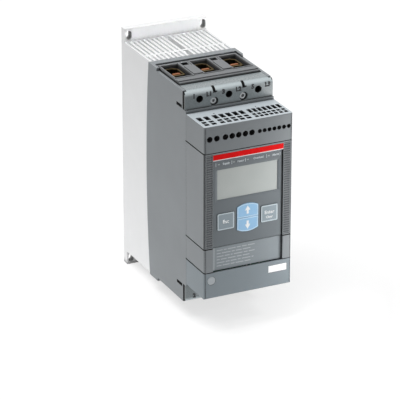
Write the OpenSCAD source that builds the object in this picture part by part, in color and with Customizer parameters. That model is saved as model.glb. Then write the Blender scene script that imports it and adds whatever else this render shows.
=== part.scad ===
// Compact three-phase soft starter for panel mounting, sizes in millimetres.
// X runs across the width and Z is up.
// Y runs from the front face (negative) back to the mounting plane at Y = 0.

/* [Overall] */
// Width across the plastic housings
unit_w = 90; // [88:0.5:96]
// Depth from the mounting plane to the front face
unit_d = 186.5; // [184:0.5:196]
// Height of the finned body and of the terminal housing
body_h = 218; // [214:1:230]
// Height of the control section on the front
control_h = 171; // [168:0.5:174]
// Gap between neighbouring mouldings
fit = 0.2; // [0.15:0.05:0.3]

/* [Heat sink] */
// Thickness of the mounting plate
plate_t = 8; // [6:0.5:10]
// Height of each ear beyond the body
ear_h = 13.5; // [12:0.5:18]
// Depth of the rear row of channels
rear_channel_d = 40; // [34:1:44]
// Thickness of the web between the two rows of channels
web_t = 3; // [2:0.5:4]
// Depth of the front row of channels
front_channel_d = 14.5; // [12:0.5:18]
// Thickness of the base plate that carries the modules
base_t = 8; // [7:0.5:10]
// Fins on each side of the middle channel
fins_per_side = 8; // [6:1:9]
// Thickness of one fin
fin_t = 2.4; // [1.8:0.1:2.8]
// Width of the middle channel
channel_w = 5; // [4.2:0.2:6]
// Thickness of the outer side fins
side_fin_t = 2; // [1.6:0.1:2.6]
// Width of a fixing slot
slot_w = 5.6; // [4.5:0.1:6]
// Length of a fixing slot
slot_len = 9; // [7.5:0.5:10]
// Distance between the slots across the width
slot_pitch_x = 78; // [72:1:78]
// Distance from the plate end to the middle of a slot
slot_edge = 6.6; // [6:0.1:7.2]

/* [Terminal housing] */
// Thickness of the housing side walls
side_t = 1.6; // [1.4:0.1:2]
// Thickness of the housing top and bottom walls
top_t = 2.2; // [1.8:0.1:2.8]
// Depth of the housing from its skirt to its front wall
housing_d = 82.3; // [80:0.5:90]
// Thickness of the housing front wall
front_t = 2; // [1.6:0.1:2.6]
// Rearward bow of the skirt at half height
skirt_bow = 6; // [3:0.5:8]
// Drop of the side rails and terminal covers below the rear rim
rail_drop = 3; // [2:0.1:3.4]
// Length of the returns of the rear rim along the sides
rim_return = 10; // [6:0.5:14]
// Width of the rails beside the terminal openings
rail_w = 2.8; // [2.4:0.1:3.4]
// Radius of the rounded front edges over the terminals
corner_r = 5.5; // [4:0.5:7]
// Height of the lip above the control section
lip_h = 2.5; // [2:0.1:3.5]
// Depth of the lip in front of the terminal covers
lip_d = 2.4; // [2.3:0.1:4]
// Height of the four screw posts from the middle
post_z = 56; // [54:1:58]
// Radius of the screw posts
post_r = 3.6; // [3.2:0.1:4]

/* [Power terminals] */
// Distance of the outer phases from the housing sides
phase_inset = 15; // [14.8:0.1:15.5]
// Width of a cable well
well_w = 18; // [17:0.5:19]
// Depth of a cable well, back to front
well_d = 34; // [32:0.5:36]
// Thickness of the shroud wall behind the wells
shroud_rear_t = 3.8; // [3:0.2:5]
// Depth of the shroud in front of the wells
shroud_land = 14; // [13:0.5:16]
// Height of the terminal shroud
shroud_h = 24.5; // [23:0.5:26]
// Drop of the shroud top below the housing top
shroud_drop = 1.2; // [0.8:0.1:1.6]
// Gap around the terminal shrouds
shroud_gap = 1.2; // [0.6:0.1:1.4]
// Height of the clamp screw below the housing top
terminal_drop = 12.1; // [11.5:0.1:12.8]
// Width of a clamp cage
cage_w = 15; // [14:0.5:16]
// Depth of a clamp cage
cage_d = 20; // [19:0.5:21]
// Height of a clamp cage
cage_h = 15; // [13:0.5:15.5]
// Wall of a clamp cage
cage_t = 1.4; // [1.2:0.1:2]
// Radius of the screwdriver holes in the terminal covers
driver_r = 3.3; // [2.9:0.1:3.6]
// Depth of the cover ends in front of the side rails
cover_wrap = 2.8; // [2:0.1:3.4]
// Gap between the cover ends and the side rails
wrap_gap = 1.8; // [1:0.1:2.2]
// Thickness of a terminal cover
cover_t = 2.2; // [1.8:0.1:2.6]
// Distance of the cover screws from the middle
cover_screw_x = 15; // [14.5:0.1:15.5]
// Drop of the cover screws below the driver holes
cover_screw_drop = 4.5; // [4:0.1:5]
// Radius of a cover screw head
cover_head_r = 3.2; // [3:0.1:3.6]
// Length of the latch slots in the side walls
latch_len = 11; // [9:0.5:12]
// Height of the latch slots in the side walls
latch_h = 2.2; // [1.8:0.1:2.4]

/* [Conductors and modules] */
// Width of a bar
bar_w = 10; // [9:0.5:10]
// Thickness of a bar
bar_t = 3; // [2:0.25:3.5]
// Distance of the inner bar ends from the middle
bar_start = 20; // [18:0.5:22]
// Width of a thyristor module
module_w = 25; // [22:0.5:25]
// Length of a thyristor module
module_len = 94; // [90:1:96]
// Distance of the module terminals from the middle
module_terminal_z = 33; // [32.5:0.5:34]
// Width of a bypass relay
relay_w = 24; // [20:0.5:25]
// Length of a bypass relay
relay_len = 52; // [48:0.5:54]
// Depth of a bypass relay
relay_d = 26; // [22:0.5:28]
// Height of a current transformer below the middle
transformer_z = 68; // [67.5:0.5:72]
// Height of a current transformer body
transformer_h = 14; // [10:0.5:15]

/* [Control section] */
// Wall of the control mouldings
shell_t = 1.8; // [1.5:0.1:2]
// Radius of the upright front edges
edge_r = 1.5; // [1:0.1:2]
// Width of the grooves along the upright front edges
groove_w = 0.6; // [0.4:0.1:0.8]
// Height of the wiring cover
wiring_h = 26.5; // [26:0.1:28]
// Height of the label band
band_h = 24; // [22:0.5:25]
// Height of the lower cover
lower_h = 26; // [25:0.5:27]
// Gap at the seams between the control mouldings
seam = 0.8; // [0.4:0.1:0.9]
// Radius of the large screwdriver holes
relay_hole_r = 2.7; // [2.3:0.1:2.8]
// Radius of the small screwdriver holes
signal_hole_r = 1.9; // [1.5:0.1:2]
// Drop of the screwdriver holes below the control section top
hole_drop = 12.4; // [11.5:0.1:13]
// Bevel around the screwdriver holes
hole_rim = 0.2; // [0.1:0.1:0.4]
// Distance between the two left columns
pair_pitch = 7.2; // [6.8:0.1:7.4]
// Distance between the large columns
relay_pitch = 6.7; // [6.4:0.1:6.8]
// Distance between the small columns
signal_pitch = 4.95; // [4.7:0.05:4.95]
// Length of the rear wire entries
entry_len = 7; // [5.5:0.1:7.2]
// Width of the wire entries over the large columns
relay_entry_w = 4; // [3:0.1:4]
// Width of the wire entries over the small columns
signal_entry_w = 2.9; // [2.2:0.1:3]
// Thickness of the circuit boards
board_t = 1.6; // [1.2:0.2:2]
// Length of the stand-offs under the control board
standoff_h = 4; // [3:0.5:6]

/* [Operator panel] */
// Width of the panel recess between the grip strips
recess_w = 72; // [70:0.5:74]
// Depth of the panel face behind the front
panel_drop = 1.5; // [1:0.1:2]
// Thickness of the panel
panel_t = 3; // [2.8:0.1:3.6]
// Gap around the panel and the rating plate
panel_gap = 0.8; // [0.5:0.1:1]
// Height of the colour strip
strip_h = 6; // [5:0.5:7]
// Rim of the operator housing above the colour strip
strip_rim = 1.4; // [1:0.1:2]
// Depth of the textured fields on the grip strips
grip_d = 0.4; // [0.3:0.1:0.5]
// Distance from the panel edge to the display window
window_margin = 4.45; // [4.2:0.05:7]
// Height of the display window
window_h = 29.5; // [26:0.5:30]
// Distance from the upper seam to the middle of the display
window_drop = 32.8; // [32:0.2:33.4]
// Bevel around the display window
window_bevel = 2; // [1:0.1:2]
// Distance from the upper seam to the status lamps
lamp_drop = 12.4; // [12:0.1:12.8]
// Distance from the upper seam to the middle of the keys
key_drop = 69.6; // [69:0.2:70.6]
// Width of the exit and select keys
key_w = 17.2; // [16:0.2:17.4]
// Height of the exit and select keys
key_h = 16.6; // [15:0.2:17]
// Distance from the panel edge to the exit and select keys
key_margin = 4.2; // [4:0.1:4.4]
// Space between neighbouring keys
key_space = 3; // [2.8:0.1:3.8]
// Height of the up and down keys together, at their sides
arrow_h = 22.4; // [21:0.2:23]
// Rise of the crowned ends of the up and down keys
arrow_crown = 2.8; // [2:0.2:3]
// Gap around each key
key_gap = 0.25; // [0.2:0.05:0.35]
// Height of the keys above the panel
key_rise = 0.5; // [0.3:0.1:0.9]
// Travel of a key when it is pressed
key_travel = 0.8; // [0.5:0.1:0.9]
// Width of the blank marker plate
marker_w = 19; // [16:0.5:20]
// Height of the blank marker plate
marker_h = 7; // [6:0.5:8]

/* [Hidden] */
$fn = 48;
// Left and right, or top and bottom
sides = [-1, 1];
// Half sizes of the main blocks
half_w = unit_w / 2;
body_top = body_h / 2;
control_top = control_h / 2;
plate_top = body_top + ear_h;
phase_pitch = half_w - phase_inset;
// Depth planes of the heat sink and the housing
y_web = -(plate_t + rear_channel_d);
y_channel = y_web - web_t;
y_base = y_channel - front_channel_d;
y_sink = y_base - base_t;
y_skirt = y_base - fit;
y_wall = y_skirt - housing_d;
y_front = -unit_d;
y_cover = y_wall + lip_d;
y_edge = y_cover + cover_wrap + wrap_gap;
y_rim = y_sink - fit;
y_step = y_rim - rim_return;
rail_top = body_top - rail_drop;
// Heat sink widths follow from the housing around it
sink_w = unit_w - 2 * (side_t + fit);
inner_x = half_w - side_t;
fin_pitch = (sink_w / 2 - side_fin_t - channel_w / 2) / fins_per_side;
base_top = body_top - top_t - fit;
slot_z = plate_top - slot_edge;
lip_z = control_top + lip_h;
// Bow radius from its chord and its rise
bow_r = (body_top * body_top + skirt_bow * skirt_bow) / (2 * skirt_bow);
// Terminal shroud, clamps and bars
shroud_half = half_w - rail_w - shroud_gap;
shroud_top = body_top - shroud_drop;
shroud_z = shroud_top - shroud_h;
y_shroud = y_rim - shroud_gap;
y_well = y_shroud - shroud_rear_t;
y_land = y_well - well_d;
y_shroud_front = y_land - shroud_land;
well_frame = 1.2;
lid_w = 8.8;
terminal_z = body_top - terminal_drop;
y_cage = y_well - 0.4;
y_cage_front = y_cage - cage_d;
cage_z = terminal_z - cage_h / 2;
cage_cut = 4;
y_bar_front = y_cage_front + cage_t + 0.6;
y_bar = y_bar_front + bar_t;
bar_top = cage_z + cage_h + 0.5;
clamp_screw_r = 3;
clamp_head_r = 4.2;
clamp_head_h = 5;
// Terminal covers and their screws
cover_half = half_w - rail_w - 0.3;
y_cover_rear = y_shroud_front - shroud_gap;
cover_z = lip_z - 2;
cover_screw_z = terminal_z - cover_screw_drop;
cover_screw_r = 2;
cup_gap = 1;
head_sink = 2.2;
slit_h = 5;
cup_d = 4.4;
latch_z = lip_z + 1.9;
latch_y = y_edge + 2.2;
// Modules, relays and transformers
module_d = y_sink - y_bar;
y_relay_front = y_bar_front - relay_d;
screw_m4_r = 2;
screw_m5_r = 2.4;
bore_gap = 0.1;
module_screw_z = module_len / 2 - 6;
insulator_half = 8;
insulator_top = module_terminal_z + 8;
transformer_w = 24;
transformer_d = 20;
// Boards
y_power = y_relay_front;
y_power_front = y_power - board_t;
power_board_h = 140;
power_board_rim = 5;
connector_half = 14;
connector_h = 12;
y_control = y_wall - standoff_h;
y_control_front = y_control - board_t;
standoff_z = [-68, 52];
post_x = inner_x - post_r + 0.5;
head_drop = 0.2;
housing_head_h = 2.2;
// Seams of the control section
seam_upper = control_top - wiring_h;
seam_lower = -control_top + lower_h;
seam_middle = seam_lower + band_h;
shell_x = half_w - shell_t;
y_shell = y_wall - fit;
control_board_x = shell_x - 4.2;
standoff_x = control_board_x - 5;
// Columns of the control terminals
relay_x = half_w - 5.6;
relay_first = -relay_x + pair_pitch + 8.7;
relay_columns = [-relay_x, -relay_x + pair_pitch, for (i = [0:4]) relay_first + i * relay_pitch];
signal_x = half_w - 4;
signal_room = signal_x - relay_columns[6] - 7.9;
signal_columns = [for (i = [floor(signal_room / signal_pitch):-1:0]) signal_x - i * signal_pitch];
hole_z = control_top - hole_drop;
// Wire entry rows as depth behind the front and length
entry_rows = [[20.3, entry_len], [11.8, 3.6], [6.6, 2.8]];
// Thinner wall around the wire entries
entry_t = 0.8;
block_top = control_top - shell_t - 0.6;
block_h = 20;
screw_bore = 10;
screw_sink = 6.5;
y_block_front = y_front + shell_t + 2;
relay_block = [-shell_x + 0.4, relay_columns[6] + 3.4];
signal_block = [signal_columns[0] - 2.4, shell_x - 0.3];
entry_y = y_front + entry_rows[0][0];
pin_y = y_front + 29;
// Operator panel planes
y_panel = y_front + panel_drop;
y_panel_rear = y_panel + panel_t;
y_ledge = y_panel_rear + 0.1;
ledge_t = 2;
strip_d = 2.6;
grip_rim = 0.5;
grip_in = recess_w / 2 + grip_rim;
grip_out = half_w - edge_r - groove_w / 2 - grip_rim;
strip_top = seam_upper - seam / 2 - strip_rim;
strip_z = strip_top - strip_h;
panel_half = recess_w / 2 - panel_gap;
panel_top = strip_z - 0.2;
panel_z = seam_middle + seam / 2;
opening_half = recess_w / 2 - 2.5;
window_w = 2 * (panel_half - window_margin);
window_z = seam_upper - window_drop;
bevel_d = 0.4;
lens_lip = 0.6;
lens_t = panel_t - lens_lip - 0.2;
lens_lap = 1.2;
lamp_z = seam_upper - lamp_drop;
lamp_columns = [5.8 - panel_half, -14, 0, panel_half - 13.8];
lamp_w = 2;
lamp_h = 1.2;
key_z = seam_upper - key_drop;
key_x = panel_half - key_margin - key_w / 2;
key_corner = 1.2;
arrow_w = 2 * (key_x - key_w / 2 - key_space);
arrow_split = 0.2;
arrow_r = (arrow_w * arrow_w / 4 + arrow_crown * arrow_crown) / (2 * arrow_crown);
flange_lap = 0.7;
flange_t = 1;
post_len = 1.6;
switch_h = 1;
y_flange = y_panel_rear + fit;
y_key_rear = y_flange + flange_t + post_len;
y_display = y_key_rear + key_travel + 0.3 + switch_h;
display_half = recess_w / 2 + 2.5;
display_post_z = [seam_middle + 12, seam_upper - 11];
// Rating plate and marker plate
band_drop = 3;
plate_sheet = 0.8;
marker_x = half_w - 14;
marker_z = seam_lower - 8.2;
marker_d = 0.6;
mark_x = -half_w + 7.6;
mark_r = 4.3;

// Box between two limits on each axis
module span(x, y, z) {
  translate([x[0], y[0], z[0]]) cube([x[1] - x[0], y[1] - y[0], z[1] - z[0]]);
}

// Rectangle between two limits on each axis
module span_2d(a, b) {
  translate([a[0], b[0]]) square([a[1] - a[0], b[1] - b[0]]);
}

// Round bar along Y, from its rear end to its front end
module rod(x, z, rear, front, r) {
  translate([x, rear, z]) rotate([90, 0, 0]) cylinder(r = r, h = rear - front);
}

// Round hole through a front wall, with a bevelled rim
module rimmed_hole(x, z, face, wall, r, rim) {
  rod(x, z, face + wall + 1, face - 1, r);
  translate([x, face + rim, z]) rotate([90, 0, 0]) cylinder(r1 = r, r2 = r + 2 * rim, h = 2 * rim);
}

// Side profile (Y, Z) drawn out across the width
module across(width) {
  rotate([90, 0, 90]) linear_extrude(height = width, center = true) children();
}

// Front profile (X, Z) drawn out from its rear plane to its front plane
module deep(rear, front) {
  translate([0, rear, 0]) rotate([90, 0, 0]) linear_extrude(height = rear - front) children();
}

// Plan profile (X, Y) drawn up between two heights
module tall(low, high) {
  translate([0, 0, low]) linear_extrude(height = high - low) children();
}

module round_rect(w, h, r) {
  square([w - 2 * r, h], center = true);
  square([w, h - 2 * r], center = true);
  for (a = sides, b = sides) translate([a * (w / 2 - r), b * (h / 2 - r)]) circle(r = r);
}

// Screw along Y with its head forward, and a six-sided socket in the head
module screw(x, z, seat, tip, r, head_r, head_h, socket_r) {
  difference() {
    union() {
      rod(x, z, tip, seat, r);
      rod(x, z, seat, seat - head_h, head_r);
    }
    translate([x, seat - 0.4 * head_h, z]) rotate([90, 0, 0]) cylinder(r = socket_r, h = head_h, $fn = 6);
  }
}

// Heat sink

module channels(rear, front) {
  span_2d([-channel_w / 2, channel_w / 2], [front, rear]);
  for (s = sides, i = [0:fins_per_side - 1])
    translate([s * (channel_w / 2 + i * fin_pitch + (fin_pitch + fin_t) / 2), (rear + front) / 2])
      square([fin_pitch - fin_t, rear - front], center = true);
}

module heat_sink() {
  color("gainsboro") difference() {
    union() {
      tall(-body_top, body_top) difference() {
        span_2d([-sink_w / 2, sink_w / 2], [y_base, 0]);
        channels(-plate_t, y_web);
        channels(y_channel, y_base - 1);
      }
      span([-sink_w / 2, sink_w / 2], [-plate_t, 0], [-plate_top, plate_top]);
      span([-sink_w / 2, sink_w / 2], [y_sink, y_base], [-base_top, base_top]);
    }
    for (a = sides, b = sides) {
      translate([a * slot_pitch_x / 2, 0, b * slot_z]) deep(1, -plate_t - 1) {
        square([slot_w, slot_len - slot_w], center = true);
        for (s = sides) translate([0, s * (slot_len - slot_w) / 2]) circle(d = slot_w);
      }
      rod(a * post_x, b * post_z, y_sink + base_t - 1, y_sink - 1, screw_m4_r + bore_gap);
      rod(a * phase_pitch, b * module_screw_z, y_sink + base_t - 1, y_sink - 1, screw_m4_r + bore_gap);
    }
  }
}

// Terminal housing

module housing_profile() {
  rear = y_skirt + skirt_bow;
  intersection() {
    translate([rear - bow_r, 0]) circle(r = bow_r, $fn = 256);
    union() {
      span_2d([y_wall, rear + 1], [-lip_z, lip_z]);
      span_2d([y_step, rear + 1], [-body_top, body_top]);
      intersection() {
        span_2d([y_edge, rear], [-body_top, body_top]);
        union() {
          span_2d([y_cover + corner_r, rear], [-rail_top, rail_top]);
          span_2d([y_cover, rear], [-rail_top + corner_r, rail_top - corner_r]);
          for (s = sides) translate([y_cover + corner_r, s * (rail_top - corner_r)]) circle(r = corner_r);
        }
      }
    }
  }
}

// Pad and slot of a cover latch in a side wall
module latch_block(a, b, reach, grow) {
  translate([a * (half_w - reach), latch_y + latch_len / 2, b * latch_z])
    cube([grow > 0 ? rail_w : rail_w + 2, latch_len + grow, latch_h + grow], center = true);
}

module base_housing() {
  color("slategray") difference() {
    union() {
      difference() {
        across(unit_w) housing_profile();
        span([-inner_x, inner_x], [y_wall + front_t, 0], [-rail_top + top_t, rail_top - top_t]);
        span([-inner_x, inner_x], [y_step, 0], [-body_top + top_t, body_top - top_t]);
        for (s = sides) {
          span([-half_w + rail_w, half_w - rail_w], [y_wall - 1, y_rim],
            s > 0 ? [lip_z, body_top + 1] : [-body_top - 1, -lip_z]);
        }
        span([-26, 26], [y_wall - 1, y_wall + front_t + 1], [-40, 40]);
      }
      for (a = sides, b = sides) rod(a * post_x, b * post_z, y_sink, y_wall + 0.1, post_r);
      for (a = sides, z = standoff_z) rod(a * standoff_x, z, y_wall + 0.1, y_control, 3);
      for (a = sides, b = sides) latch_block(a, b, rail_w / 2, 4);
      for (a = sides, b = sides)
        translate([a * (inner_x - 1.9), (y_shroud + y_shroud_front) / 2, b * (shroud_z - 1)])
          cube([4, y_shroud - y_shroud_front, 2], center = true);
    }
    for (a = sides, b = sides) {
      latch_block(a, b, rail_w / 2 - 0.5, 0);
      rod(a * post_x, b * post_z, y_sink + 1, y_wall - 1, screw_m4_r + bore_gap);
      rod(a * post_x, b * post_z, y_wall + head_drop + housing_head_h, y_wall - 1, post_r - 0.2);
    }
    for (a = sides, z = standoff_z) rod(a * standoff_x, z, y_wall - 0.5, y_control - 1, 1.3);
  }
}

module housing_screws() {
  color("silver") for (a = sides, b = sides)
    screw(a * post_x, b * post_z, y_wall + head_drop + housing_head_h, y_sink + base_t - 2, screw_m4_r,
      post_r - 0.5, housing_head_h, 1.6);
}

// Terminal shrouds

module terminal_shroud() {
  raised = [shroud_top - 0.1, body_top - 0.2];
  color("dimgray") difference() {
    union() {
      span([-shroud_half, shroud_half], [y_shroud_front, y_shroud], [shroud_z, shroud_top]);
      for (i = [-1:1]) translate([i * phase_pitch, (y_well + y_land) / 2, shroud_top])
        cube([well_w + 2 * well_frame, well_d + 2 * well_frame, 1], center = true);
      span([-shroud_half, shroud_half], [y_shroud_front + 3, y_shroud_front + 8], raised);
      for (s = sides)
        span([(s * phase_pitch - lid_w) / 2, (s * phase_pitch + lid_w) / 2],
          [y_land + 1, y_well - 11], raised);
    }
    for (i = [-1:1]) {
      translate([i * phase_pitch, (y_well + y_land) / 2, body_top - shroud_h])
        cube([well_w, well_d, 3 * shroud_h], center = true);
      rod(i * phase_pitch, terminal_z, y_land + 1, y_shroud_front - 1, driver_r + 0.4);
    }
    for (s = sides) {
      span([s * phase_pitch / 2 - 3.4, s * phase_pitch / 2 + 3.4], [y_well - 6.4, y_well + 0.4],
        [shroud_top - 10, body_top]);
      rod(s * cover_screw_x, cover_screw_z, y_shroud_front + 12, y_shroud_front - 1,
        cover_screw_r + bore_gap);
    }
  }
}

module line_terminal_shroud() { terminal_shroud(); }
module load_terminal_shroud() { mirror([0, 0, 1]) terminal_shroud(); }

// Terminal covers

module cover_profile(inset, r) {
  span_2d([y_cover + inset, y_cover_rear + inset], [cover_z - inset, rail_top - inset - r]);
  span_2d([y_cover + inset + r, y_cover_rear + inset], [cover_z - inset, rail_top - inset]);
  translate([y_cover + inset + r, rail_top - inset - r]) circle(r = r);
}

// Front of the cover, which runs across the side rails
module cover_front() {
  across(unit_w) intersection() {
    cover_profile(0, corner_r);
    span_2d([y_cover, y_cover + cover_wrap], [lip_z + 0.3, rail_top]);
  }
}

module terminal_cover() {
  color("slategray") difference() {
    union() {
      difference() {
        union() {
          across(2 * cover_half) cover_profile(0, corner_r);
          cover_front();
        }
        across(2 * cover_half) cover_profile(cover_t, corner_r - cover_t);
      }
      for (s = sides) {
        rod(s * cover_screw_x, cover_screw_z, y_cover + cup_d + 1.8, y_cover + 0.1,
          cover_head_r + cup_gap + 1.2);
        translate([s * (cover_half - 0.7), (y_cover + cover_t + latch_y + latch_len) / 2, latch_z])
          cube([1.4, latch_y + latch_len - y_cover - cover_t, 3.2], center = true);
        translate([s * (cover_half + half_w - 2.5) / 2, latch_y + latch_len / 2, latch_z])
          cube([half_w - cover_half - 0.5, latch_len - 1, latch_h - 1], center = true);
      }
    }
    for (i = [-1:1]) rimmed_hole(i * phase_pitch, terminal_z, y_cover, cover_t, driver_r, hole_rim);
    for (s = sides) {
      rod(s * cover_screw_x, cover_screw_z, y_cover + cup_d, y_cover - 1, cover_head_r + cup_gap);
      rod(s * cover_screw_x, cover_screw_z, y_cover + cup_d + 3, y_cover, cover_screw_r + bore_gap);
      span([s * cover_screw_x - 0.9, s * cover_screw_x + 0.9], [y_cover - 1, y_cover + corner_r],
        [rail_top - slit_h, rail_top + 1]);
      span([s * cover_screw_x - 1.2, s * cover_screw_x + 2.9], [y_cover - 1, y_cover + corner_r],
        [rail_top - slit_h, rail_top - slit_h + 1.4]);
    }
  }
}

module line_terminal_cover() { terminal_cover(); }
module load_terminal_cover() { mirror([0, 0, 1]) terminal_cover(); }

module cover_screws() {
  color("silver") for (s = sides)
    screw(s * cover_screw_x, cover_screw_z, y_cover + cup_d, y_shroud_front + 10, cover_screw_r,
      cover_head_r, cup_d - head_sink, 1.7);
}

module line_cover_screws() { cover_screws(); }
module load_cover_screws() { mirror([0, 0, 1]) cover_screws(); }

// Clamps and bars

module cage_plan(inset) {
  w = cage_w / 2 - inset;
  cut = cage_cut - 0.586 * inset;
  rear = y_cage - inset;
  polygon([[-w, y_cage_front + inset], [w, y_cage_front + inset], [w, rear - cut], [w - cut, rear],
    [cut - w, rear], [-w, rear - cut]]);
}

module clamp(i) {
  color("goldenrod") translate([i * phase_pitch, 0, 0]) difference() {
    tall(cage_z, cage_z + cage_h) difference() {
      cage_plan(0);
      cage_plan(cage_t);
    }
    rod(0, terminal_z, y_cage_front + cage_t + 0.5, y_cage_front - 1, clamp_screw_r + bore_gap);
  }
}

module line_clamp_1() { clamp(-1); }
module line_clamp_2() { clamp(0); }
module line_clamp_3() { clamp(1); }
module load_clamp_1() { mirror([0, 0, 1]) clamp(-1); }
module load_clamp_2() { mirror([0, 0, 1]) clamp(0); }
module load_clamp_3() { mirror([0, 0, 1]) clamp(1); }

module clamp_screws() {
  color("silver") for (i = [-1:1])
    screw(i * phase_pitch, terminal_z, y_cage_front - 0.2, y_bar_front - 0.1, clamp_screw_r, clamp_head_r,
      clamp_head_h, 2.3);
}

module line_clamp_screws() { clamp_screws(); }
module load_clamp_screws() { mirror([0, 0, 1]) clamp_screws(); }

module bar_outline(low, high) {
  cut = 1.5;
  polygon([[-bar_w / 2, low + cut], [cut - bar_w / 2, low], [bar_w / 2 - cut, low], [bar_w / 2, low + cut],
    [bar_w / 2, high - cut], [bar_w / 2 - cut, high], [cut - bar_w / 2, high], [-bar_w / 2, high - cut]]);
}

module phase_bar(i) {
  color("peru") translate([i * phase_pitch, 0, 0]) deep(y_bar, y_bar_front) difference() {
    bar_outline(bar_start, bar_top);
    translate([0, module_terminal_z]) circle(r = screw_m5_r + bore_gap);
  }
}

module line_busbar_1() { phase_bar(-1); }
module line_busbar_3() { phase_bar(1); }
module load_busbar_1() { mirror([0, 0, 1]) phase_bar(-1); }
module load_busbar_3() { mirror([0, 0, 1]) phase_bar(1); }

module through_busbar_2() {
  color("peru") deep(y_bar, y_bar_front) difference() {
    bar_outline(-bar_top, bar_top);
    for (s = sides) translate([0, s * module_terminal_z]) circle(r = screw_m5_r + bore_gap);
  }
}

// Power modules behind and in front of the bars

module thyristor_module(i) {
  color("darkslategray") translate([i * phase_pitch, 0, 0]) difference() {
    union() {
      span([-module_w / 2, module_w / 2], [y_sink - 6, y_sink], [-module_len / 2, module_len / 2]);
      span([-module_w / 2 + 1, module_w / 2 - 1], [y_sink - module_d, y_sink],
        [-module_len / 2 + 11, module_len / 2 - 11]);
    }
    for (s = sides) {
      rod(0, s * module_screw_z, y_sink + 1, y_sink - 7, screw_m4_r + 0.2);
      rod(0, s * module_terminal_z, y_bar + module_d / 2, y_bar - 1, screw_m5_r + bore_gap);
    }
    for (a = sides) span([-module_w, module_w], [y_bar - 1, y_bar + 3], a > 0 ? [10, 13] : [-13, -10]);
  }
}

module thyristor_module_1() { thyristor_module(-1); }
module thyristor_module_3() { thyristor_module(1); }

module module_screws() {
  color("silver") for (a = sides, b = sides)
    screw(a * phase_pitch, b * module_screw_z, y_sink - 6, y_sink + base_t - 2, screw_m4_r, 3.6, 2.6, 1.6);
}

module busbar_insulator() {
  color("firebrick") difference() {
    tall(-insulator_top, insulator_top) difference() {
      span_2d([-insulator_half, insulator_half], [y_bar, y_sink]);
      for (s = sides, j = [1:3]) translate([s * insulator_half, y_sink - j * module_d / 4])
        square([4, 2.4], center = true);
    }
    for (s = sides) rod(0, s * module_terminal_z, y_bar + module_d / 2, y_bar - 1, screw_m5_r + bore_gap);
  }
}

module busbar_screws() {
  color("silver") for (i = [-1:1], s = sides)
    screw(i * phase_pitch, s * module_terminal_z, y_bar_front, y_bar + module_d / 2 - 1, screw_m5_r,
      4.4, 3.4, 2);
}

module bypass_relay(i) {
  color("midnightblue") translate([i * phase_pitch, 0, 0]) difference() {
    union() {
      span([-relay_w / 2, relay_w / 2], [y_relay_front, y_bar_front - 2], [-relay_len / 2, relay_len / 2]);
      for (s = sides)
        span([-bar_w / 2, bar_w / 2], [y_bar_front - 2.1, y_bar_front],
          s > 0 ? [bar_start, relay_len / 2] : [-relay_len / 2, -bar_start]);
    }
    for (s = sides)
      translate([s * relay_w / 2, (y_relay_front + y_bar_front) / 2, 0])
        cube([1.6, relay_d - 10, relay_len - 12], center = true);
  }
}

module bypass_relay_1() { bypass_relay(-1); }
module bypass_relay_3() { bypass_relay(1); }

module current_transformer(i) {
  color("navy") translate([i * phase_pitch, (y_bar + y_bar_front) / 2, -transformer_z])
    tall(-transformer_h / 2, transformer_h / 2) difference() {
      round_rect(transformer_w, transformer_d, 3);
      square([bar_w + 0.6, bar_t + 0.6], center = true);
    }
}

module current_transformer_1() { current_transformer(-1); }
module current_transformer_3() { current_transformer(1); }

// Boards

module power_board() {
  color("seagreen") deep(y_power, y_power_front) difference() {
    round_rect(2 * (phase_pitch + power_board_rim), power_board_h, 2);
    for (a = sides, b = sides)
      translate([a * phase_pitch, b * (power_board_h / 2 - 2 * power_board_rim)]) circle(r = screw_m4_r);
  }
}

module board_connector() {
  color("black") difference() {
    span([-connector_half, connector_half], [y_control, y_power_front], [-connector_h / 2, connector_h / 2]);
    for (s = sides) translate([0, (y_control + y_power_front) / 2, s * (connector_h / 2 - 1.5)])
      cube([2 * connector_half - 4, y_power_front - y_control - 6, 5], center = true);
  }
}

module control_board() {
  color("green") deep(y_control, y_control_front) difference() {
    span_2d([-control_board_x, control_board_x], [-control_top + 10, block_top]);
    for (a = sides, z = standoff_z) translate([a * standoff_x, z]) circle(r = 1.5);
  }
}

module board_screws() {
  color("silver") for (a = sides, z = standoff_z)
    screw(a * standoff_x, z, y_control_front, y_wall - 1, 1.2, 2.4, 1.8, 1.2);
}

// Control mouldings

module shell_plan() {
  difference() {
    union() {
      span_2d([-half_w, half_w], [y_front + edge_r, y_shell]);
      span_2d([-half_w + edge_r, half_w - edge_r], [y_front, y_shell]);
      for (s = sides) translate([s * (half_w - edge_r), y_front + edge_r]) circle(r = edge_r);
    }
    for (s = sides) translate([s * (half_w - edge_r), y_front]) square([groove_w, groove_w], center = true);
  }
}

module shell_wall() {
  difference() {
    shell_plan();
    span_2d([-shell_x, shell_x], [y_front + shell_t, y_shell + 1]);
  }
}

// Rows of wire entries, as a plan to cut through an end wall
module wire_entries() {
  for (row = entry_rows) {
    for (x = relay_columns) translate([x, y_front + row[0]]) square([relay_entry_w, row[1]], center = true);
    for (x = signal_columns) translate([x, y_front + row[0]]) square([signal_entry_w, row[1]], center = true);
  }
  for (s = sides) translate([s * 21.3, pin_y]) circle(r = 0.7);
}

// End moulding of the control section, open at the rear and on its inner side
module end_cover(height) {
  intersection() {
    union() {
      tall(control_top - height + seam / 2, control_top) shell_wall();
      tall(control_top - shell_t, control_top) difference() {
        shell_plan();
        wire_entries();
      }
    }
    across(2 * unit_w) {
      span_2d([y_front, y_wall], [0, control_top - 1]);
      span_2d([y_front + 1, y_wall], [0, control_top]);
      translate([y_front + 1, control_top - 1]) circle(r = 1);
    }
  }
}

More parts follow.
